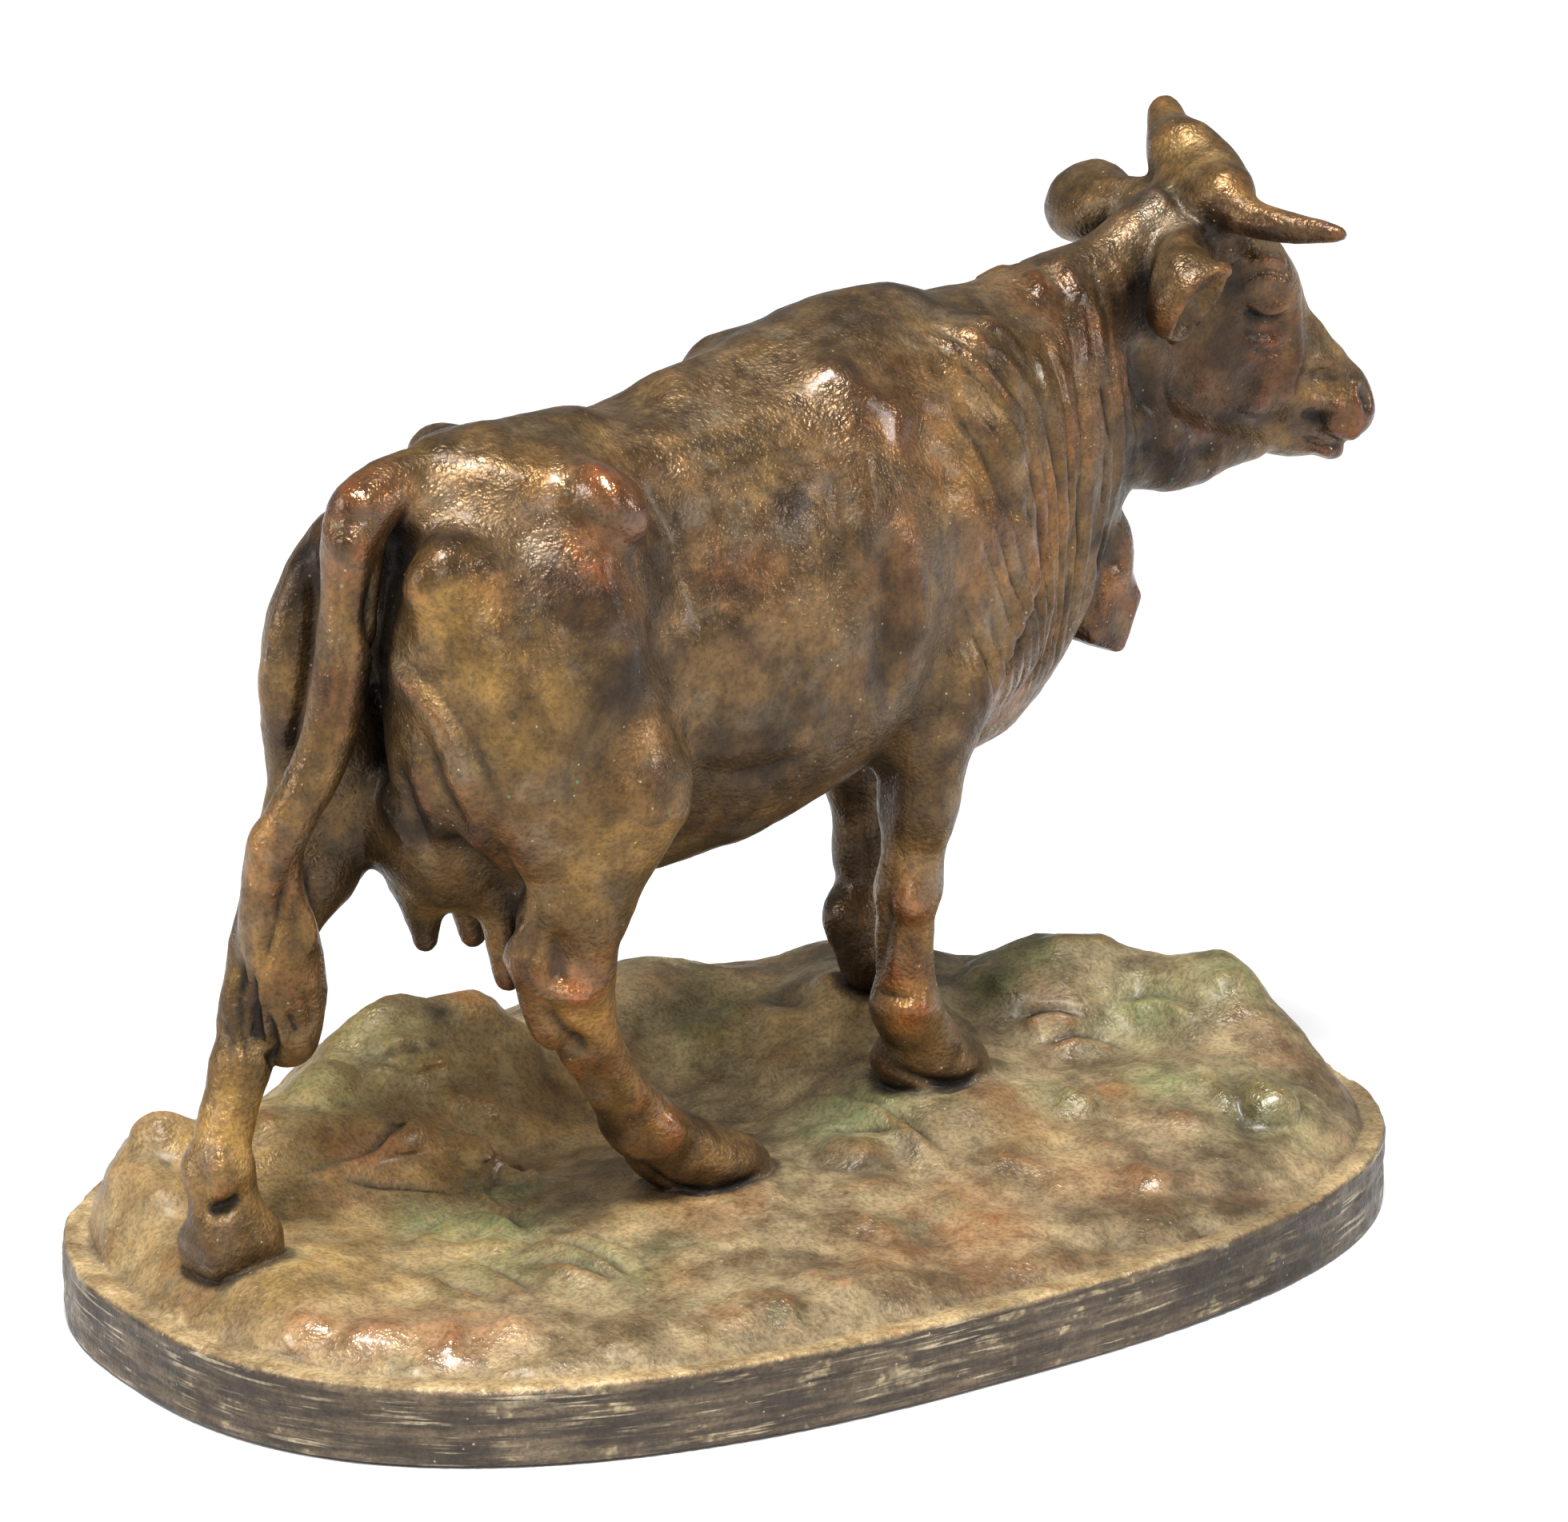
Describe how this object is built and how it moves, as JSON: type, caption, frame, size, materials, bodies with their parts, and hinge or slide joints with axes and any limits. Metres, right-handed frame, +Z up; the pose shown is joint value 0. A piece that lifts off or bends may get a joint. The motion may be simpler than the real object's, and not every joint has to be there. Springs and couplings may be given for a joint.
{
  "type": "cow sculpture",
  "caption": "Standing cow with a neck bell, head turned and tail hanging, cast in one with a rocky oval base; a patinated table figure.",
  "frame": {"origin": "centre of the oval base on its underside", "axes": "+X along the base towards the animal's head, +Y towards the animal's left side, +Z up"},
  "size_m": [0.5336, 0.3294, 0.3894],
  "materials": {
    "patina": "cast plaster painted bronze brown, satin, with green and ochre wear"
  },
  "bodies": {
    "root": {"cow_sculpture": "patina"}
  },
  "joints": []
}
